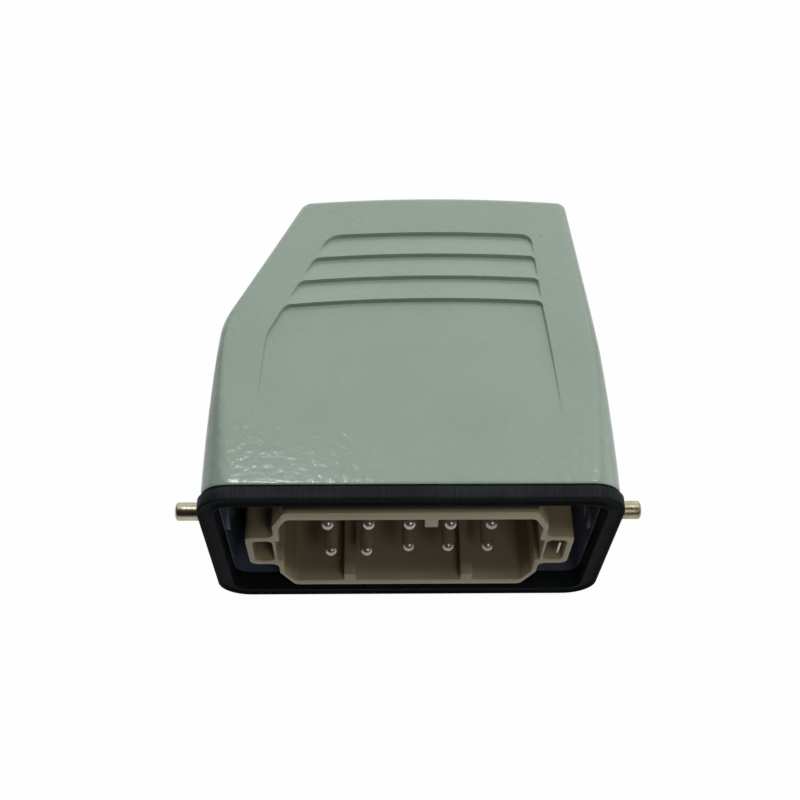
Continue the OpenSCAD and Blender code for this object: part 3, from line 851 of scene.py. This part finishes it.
# Locking pegs in the short sides
pegs = {
    "radius": 1.7,
    "shank": 1.4,
    "y": 8.0,
    "reach": 7.0,
    "bossWall": 2.0,
    "bossSides": 48,
    "boreClear": 0.02,
    "boreSides": 32,
    "sides": 64,
    "rings": (0.4, 0.08, 6),  # first past the foot, last before the chamfer, how many
    "chamfer": 0.35,
    "chamferMiddle": (0.45, 0.42),  # shares of the chamfer, along and across
    "edgeSoft": 0.02,
    "faceSoft": (0.05, 0.06),
    "centreMark": ((0, 0.5), (0.12, 0.3), (0.16, 0)),  # depth and radius
    "shadeAngle": 40.0,
}
pegs["end"] = cornersOf("locking_peg_right")[1][0]
pegs["foot"] = pegs["end"] - pegs["reach"]
pegs["inner"] = cornersOf("locking_peg_right")[0][0]


def pegRod(name, radius, inner, outer, sides):
    return rod(name, radius, (inner, pegs["y"], 0), (outer, pegs["y"], 0), sides)


def hollow():
    front, inner = hood["tongueFront"] - overrun, hood["length"] - hood["endWall"]
    rows = np.linspace(front, inner, skinGrid["hollowRows"])
    space = skinSolid("hollow", [skinRing(y, hood["wall"]) for y in rows])
    bossRadius = pegs["shank"] + pegs["bossWall"]
    for signX in (-1, 1):
        for signZ in (-1, 1):
            cut(space, fixingColumn(signX, signZ))
        start, end = signX * pegs["inner"], signX * hood["halfWidth"]
        cut(space, pegRod("boss", bossRadius, start, end, pegs["bossSides"]))
    seat = entry["seatDepth"]
    cut(space, entryRod("boss", seat + entry["length"], seat))
    return space


# The four rounded corners of the mouth, at an inset from the seal's outer side
def mouthCorners(inset, steps):
    x, z = gasketHigh[0] - inset, gasketHigh[2] - inset
    r = hood["edgeRound"][0] + hood["gasketProud"] - inset
    quarters = ((1, 1, 0), (-1, 1, 90), (-1, -1, 180), (1, -1, 270))
    return [arc(((x - r) * sx, (z - r) * sz), r, turn, turn + 90, steps) for sx, sz, turn in quarters]


def rebateCutter():
    inset, depth = hood["rebate"]
    outline = [p for corner in mouthCorners(inset, hood["rebateSteps"]) for p in corner]
    return prism("rebate", outline, hood["tongueFront"] - overrun, depth)


def makeHood():
    shell = outerSkin()
    cut(shell, hollow())
    cut(shell, rebateCutter())
    seat = entry["seatDepth"]
    inside = seat + entry["length"]
    cut(shell, entryRod("seat", seat, -hood["wall"]))
    cut(shell, entryRod("relief", inside + entry["relief"], inside))
    cut(shell, threadCutter())
    boreRadius = pegs["shank"] + pegs["boreClear"]
    for signX in (-1, 1):
        start, end = signX * (pegs["inner"] - overrun), signX * (hood["halfWidth"] + overrun)
        cut(shell, pegRod("bore", boreRadius, start, end, pegs["boreSides"]))
        for signZ in (-1, 1):
            x, z = signX * fixing["x"], signZ * fixing["z"]
            start = (x, fixing["seat"] - fixing["lead"], z)
            end = (x, fixing["seat"] + fixing["grip"], z)
            cut(shell, rod("bore", fixing["bore"], start, end, fixing["boreSides"]))
    finishPiece(shell, "hood_shell", hood["finishes"], hood["shadeAngle"])
    markInside(shell)
    return shell


# Faces well under the skin are bare casting, and the strip beside the seal takes the seal's black as a
# painted shadow of the gap
def markInside(shell):
    mesh = shell.data
    middles = np.zeros(len(mesh.polygons) * 3)
    mesh.polygons.foreach_get("center", middles)
    x, y, z = (middles.reshape(-1, 3) / mm).T
    left, right, r = leftSide(y), halfWidth(y), edgeRound(y)
    pastX = np.abs(x - (left + right) / 2) - (right - left) / 2 + r
    pastZ = np.abs(z) - halfThick(y) + r
    out = np.hypot(np.maximum(pastX, 0), np.maximum(pastZ, 0))
    under = r - out - np.minimum(np.maximum(pastX, pastZ), 0)
    inside = (under > hood["skinDepth"]) & (y < hood["length"] - endSag(x) - hood["skinDepth"])
    edgeY, edgeDepth = hood["gapShadowEdge"]
    # painted shadow: the tongue's strip just behind the seal takes the seal's finish, standing in for the
    # shade in the gap
    rim = (y < edgeY) & (under > edgeDepth) & (under < hood["tongueInset"] + hood["gapShadowSlack"])
    paint, bare, paintedGapShadow = range(len(hood["finishes"]))
    mesh.polygons.foreach_set("material_index", np.where(rim, paintedGapShadow, np.where(inside, bare, paint)))


hoodShell = makeHood()
print("hood:", len(hoodShell.data.polygons), "faces")


# Rim gasket: a moulded section swept round the mouth
gasket = {
    "band": 2.38,
    "bandBreak": 0.06,
    "face": 3.0,
    "lip": 0.6,
    "lipEdge": 0.05,
    "lipSlope": 0.18,
    "groove": 0.35,
    "grooveEdge": 0.03,
    "web": 1.28,
    "skin": 0.75,
    "skirt": 3.6,
    "skirtBreak": 0.1,
    "soft": 0.12,
    "softRise": 0.02,
    "outerSoft": (0.05, 0.9, 2.2),  # inset of the rounding's middle, then shares of soft
    "innerSoft": 0.04,
    "cornerSteps": 16,
    "sideSteps": 10,
    "shadeAngle": 50.0,
}


def gasketSection():
    g = gasket
    face, lip, slope, soft, rise = (g[k] for k in ("face", "lip", "lipSlope", "soft", "softRise"))
    inset, middle, top = g["outerSoft"]
    outer = [(g["bandBreak"], g["band"]), (0, g["band"] - g["bandBreak"]),
             (0, top * soft), (inset, middle * soft), (soft, rise), (2 * soft, 0)]
    lipSide = [(lip - soft, 0), (lip, g["lipEdge"]),
               (lip + slope, g["groove"] - g["grooveEdge"]), (lip + 2 * slope, g["groove"])]
    front = lipSide + [(face - across, y) for across, y in reversed(lipSide)]
    inner = [(face - 2 * soft, 0), (face - soft, rise), (face - g["innerSoft"], soft), (face, 2 * soft),
             (face, g["skirt"] - g["skirtBreak"]), (face - g["skirtBreak"], g["skirt"]),
             (face - g["skin"], g["skirt"]), (face - g["skin"], g["web"]),
             (g["skin"], g["web"]), (g["skin"], g["band"])]
    return outer + front + inner


def sweepRim(name, section):
    rings = []
    for inset, y in section:
        turns = mouthCorners(inset, gasket["cornerSteps"])
        outline = []
        for turn, following in zip(turns, turns[1:] + turns[:1]):
            run = np.linspace(turn[-1], following[0], gasket["sideSteps"] + 1)[1:-1]
            outline += turn + [tuple(p) for p in run]
        rings.append([(x, y, z) for x, z in outline])
    points = [p for ring in rings for p in ring]
    return addMesh(name, points, ringFaces(len(rings), len(rings[0]), closed=True))


rimGasket = sweepRim("rimGasket", gasketSection())
finishPiece(rimGasket, "rim_gasket", ["sealRubber"], gasket["shadeAngle"])
print("gasket:", len(rimGasket.data.polygons), "faces")


# Pegs turned from bar, with a chamfer and a faint centre mark
def makePeg(name, node, sign):
    r, chamfer, soft = pegs["radius"], pegs["chamfer"], pegs["edgeSoft"]
    length = pegs["end"] - pegs["inner"]
    foot = pegs["foot"] - pegs["inner"]
    first, last, count = pegs["rings"]
    middleAlong, middleAcross = pegs["chamferMiddle"]
    faceAlong, faceAcross = pegs["faceSoft"]
    profile = [(0, 0), (0, pegs["shank"]), (foot, pegs["shank"]), (foot, r)]
    profile += [(along, r) for along in np.linspace(foot + first, length - chamfer - last, count)]
    profile += [(length - chamfer, r - soft), (length - chamfer * middleAlong, r - chamfer * middleAcross),
                (length - faceAlong, r - chamfer + soft), (length, r - chamfer - faceAcross)]
    profile += [(length - depth, radius) for depth, radius in pegs["centreMark"]]
    piece = lathe(name, profile, (sign * pegs["inner"], pegs["y"], 0), (sign, 0, 0), pegs["sides"])
    finishPiece(piece, node, ["pegSteel"], pegs["shadeAngle"])


makePeg("lockingPegLeft", "locking_peg_left", -1)
makePeg("lockingPegRight", "locking_peg_right", 1)
print("pegs turned")


# Contacts: ball-tipped pin, stem and wire barrel in one turning
contacts = {
    "pitch": 7.36,
    "rowGap": 9.8,
    "perRow": 5,
    "sides": 40,
    "tip": 2.1,
    "ballRings": 15,
    "radius": 1.25,
    "pinRings": (0.6, 0.3, 8),  # first past the ball, last before the floor, how many
    "stem": 1.6,
    "stemSoft": (0.05, 0.04, 0.06),  # before the floor, its flare, and the stem's rounded edge
    "floor": 15.0,
    "shoulder": 20.2,
    "barrel": 2.8,
    "barrelBreak": 0.25,
    "rear": 32.2,
    "wireBore": (1.4, 9.2),  # radius and depth
    "boreMouth": 0.3,
    "boreCone": 0.6,
    "clampPlace": 27.2,
    "clampBore": 1.27,
    "clampSides": 24,
    "bendRoot": 16.125,
    "bendGap": 0.1,
    "bent": {6: (1.0, 4.9, 0.4), 7: (-2.0, 5.1, 0.4)},  # lean and dip in degrees, then reach
    "shadeAngle": 35.0,
}
contactNumbers = range(1, 2 * contacts["perRow"] + 1)


def contactProfile():
    c = contacts
    ball = c["tip"] + c["radius"]
    bore, deep = c["wireBore"]
    first, last, count = c["pinRings"]
    before, flare, turn = c["stemSoft"]
    edge, mouth = c["barrelBreak"], c["boreMouth"]
    ballTurns = np.linspace(0, math.pi / 2, c["ballRings"])
    profile = [(ball - c["radius"] * math.cos(a), c["radius"] * math.sin(a)) for a in ballTurns]
    profile[0] = (c["tip"], 0)
    profile += [(y, c["radius"]) for y in np.linspace(ball + first, c["floor"] - last, count)]
    profile += [(c["floor"] - before, c["radius"] + flare), (c["floor"], c["stem"] - turn),
                (c["floor"] + turn, c["stem"]), (c["shoulder"], c["stem"]),
                (c["shoulder"], c["barrel"] - edge), (c["shoulder"] + edge, c["barrel"]),
                (c["rear"] - edge, c["barrel"]), (c["rear"], c["barrel"] - edge),
                (c["rear"], bore + mouth), (c["rear"] - mouth, bore),
                (c["rear"] - deep, bore), (c["rear"] - deep - c["boreCone"], 0)]
    return profile


def makeContact(k):
    c = contacts
    row = 1 if k <= c["perRow"] else -1
    x = ((k - 1) % c["perRow"] - (c["perRow"] - 1) / 2) * c["pitch"]
    z = row * c["rowGap"] / 2
    piece = lathe(f"contactPin{k}", contactProfile(), (x, 0, z), (0, 1, 0), c["sides"])
    start = (x, c["clampPlace"], z)
    end = (x, c["clampPlace"], z + row * (c["barrel"] + overrun))
    cut(piece, rod("clampBore", c["clampBore"], start, end, c["clampSides"]))
    lean, dip, reach = c["bent"].get(k, (0.0, 0.0, 0.0))
    turn = Matrix.Rotation(math.radians(lean), 3, "Z") @ Matrix.Rotation(math.radians(dip), 3, "X")
    root = Vector((x, c["bendRoot"], z)) * mm
    out = Vector((0, -reach, 0)) * mm
    for v in piece.data.vertices:
        if v.co.y < (c["floor"] - c["bendGap"]) * mm:
            v.co = root + turn @ (v.co - root + out)
    finishPiece(piece, f"contact_pin_{k}", ["contactSilver"], c["shadeAngle"])


for number in contactNumbers:
    makeContact(number)
print("contacts turned:", len(contactNumbers))


# Pieces that keep the solid's own form, with their edges broken
softEdges = {
    "weld": 0.002,
    "flatAngle": 0.5,
    "sharpAngle": 40.0,
    "steps": 2,
    "profile": 0.5,
    "shadeAngle": 32.0,
}
softPieces = {
    "insert_body": ("insertBody", 0.16, "insert_plastic", "insertPlastic"),
    "earth_plate_left": ("earthPlateLeft", 0.1, "earth_metal", "earthBrass"),
    "earth_plate_right": ("earthPlateRight", 0.1, "earth_metal", "earthBrass"),
    "earth_clamps": ("earthClamps", 0.1, "screw_zinc", "screwZinc"),
    "earth_screws": ("earthScrews", 0.12, "screw_zinc", "screwZinc"),
    "fixing_screws": ("fixingScrews", 0.14, "screw_zinc", "screwZinc"),
    "terminal_screws": ("terminalScrews", 0.08, "screw_zinc", "screwZinc"),
}
for number in contactNumbers:
    softPieces[f"wire_guard_{number}"] = (f"wireGuard{number}", 0.04, "guard_steel", "guardSteel")


def softened(name, node, width, finish):
    mesh = nodes[node].data.copy()
    form = bmesh.new()
    form.from_mesh(mesh)
    flat, sharp = (math.radians(softEdges[k]) for k in ("flatAngle", "sharpAngle"))
    bmesh.ops.remove_doubles(form, verts=form.verts, dist=softEdges["weld"] * mm)
    bmesh.ops.dissolve_limit(form, angle_limit=flat, verts=form.verts, edges=form.edges)
    edges = [e for e in form.edges if len(e.link_faces) == 2 and e.calc_face_angle() > sharp]
    bmesh.ops.bevel(form, geom=edges, offset=width * mm, segments=softEdges["steps"],
                    profile=softEdges["profile"], affect="EDGES", clamp_overlap=False)
    bmesh.ops.recalc_face_normals(form, faces=form.faces)
    form.to_mesh(mesh)
    form.free()
    piece = bpy.data.objects.new(name, mesh)
    scene.collection.objects.link(piece)
    finishPiece(piece, node, [finish], softEdges["shadeAngle"])


for node, (name, width, slot, finish) in softPieces.items():
    softened(name, node, width, finish)
print("moulded and stamped pieces softened:", len(softPieces))


# Floor that the plug lies on: it touches the gasket and the hood's far end
floor = {
    "span": 14.0,  # metres
    "clear": 0.02,
    "colour": grey(0.40),
    "white": 0.985,
    "seenBy": ("Is Camera Ray", "Is Glossy Ray", "Is Transmission Ray"),
}


def floorPaper():
    s = newShader("floorPaper")
    rays = [s.node("ShaderNodeLightPath", output=kind) for kind in floor["seenBy"]]
    seen = s.node("ShaderNodeClamp", None, {"Value": sum(rays[1:], rays[0])})
    paper = s.node("ShaderNodeBsdfDiffuse", None, {"Color": floor["colour"]})
    white = s.node("ShaderNodeEmission", None, {"Color": grey(1.0), "Strength": 1.0})
    blend = s.node("ShaderNodeMixShader", None, {0: seen * floor["white"], 1: paper, 2: white})
    s.node("ShaderNodeOutputMaterial", None, {"Surface": blend})
    return s.owner


def makeFloor():
    low = gasketHigh[2] + floor["clear"]
    far = hood["length"] - hood["endFillet"]
    slope = math.atan2(gasketHigh[2] - float(halfThick(far)), far - hood["gasketBand"])
    half = floor["span"] / 2 / mm
    corners = [(x * half, y * half, 0) for x, y in ((-1, -1), (1, -1), (1, 1), (-1, 1))]
    plane = addMesh("floor", corners, [(0, 1, 2, 3)])
    place = Matrix.Translation(Vector((0, hood["gasketBand"], -low)) * mm)
    plane.matrix_world = place @ Matrix.Rotation(slope, 4, "X")
    plane.data.materials.append(floorPaper())


makeFloor()

# Lamps: places in millimetres, sizes in metres, power in watts
lamps = {
    "keyLamp": {"place": (-60, 110, 300), "size": 0.056, "power": 0.18},
    "softBox": {"place": (10, 285, 175), "size": 0.60, "power": 1.02},
    "rightLamp": {"place": (320, 60, 130), "size": 0.30, "power": 0.28},
    "sideLamp": {"place": (126, 112, 297), "size": 0.036, "power": 0.110},
    "frontLamp": {"place": (60, -117, 153), "size": 0.078, "power": 0.066},
}
plugMiddle = Vector((0, 30, 10)) * mm


def addLamp(name, look):
    lamp = bpy.data.lights.new(name, "AREA")
    lamp.shape = "DISK"
    lamp.size = look["size"]
    lamp.energy = look["power"]
    holder = bpy.data.objects.new(name, lamp)
    holder.location = Vector(look["place"]) * mm
    holder.rotation_euler = (holder.location - plugMiddle).to_track_quat("Z", "Y").to_euler()
    scene.collection.objects.link(holder)


# Surroundings that are palest low down and dimmer at the front
surroundings = {"low": 0.62, "high": 0.05, "rise": (0.0, 0.35), "front": 0.25, "turn": (-0.75, 0.05)}


def makeSurroundings():
    scene.world = bpy.data.worlds.new("surroundings")
    s = Shader(scene.world)
    low, high, front = (surroundings[k] for k in ("low", "high", "front"))
    towards = s.node("ShaderNodeTexCoord", output="Generated")
    level = low + (high - low) * s.fade(s.along("Z", towards), *surroundings["rise"])
    back = s.fade(s.along("Y", towards), *surroundings["turn"])
    level = level * (front + (1 - front) * back)
    sky = s.node("ShaderNodeBackground", None, {"Color": grey(1.0), "Strength": level})
    s.node("ShaderNodeOutputWorld", None, {"Surface": sky})


for name, look in lamps.items():
    addLamp(name, look)
makeSurroundings()
print("floor, lamps and surroundings set")
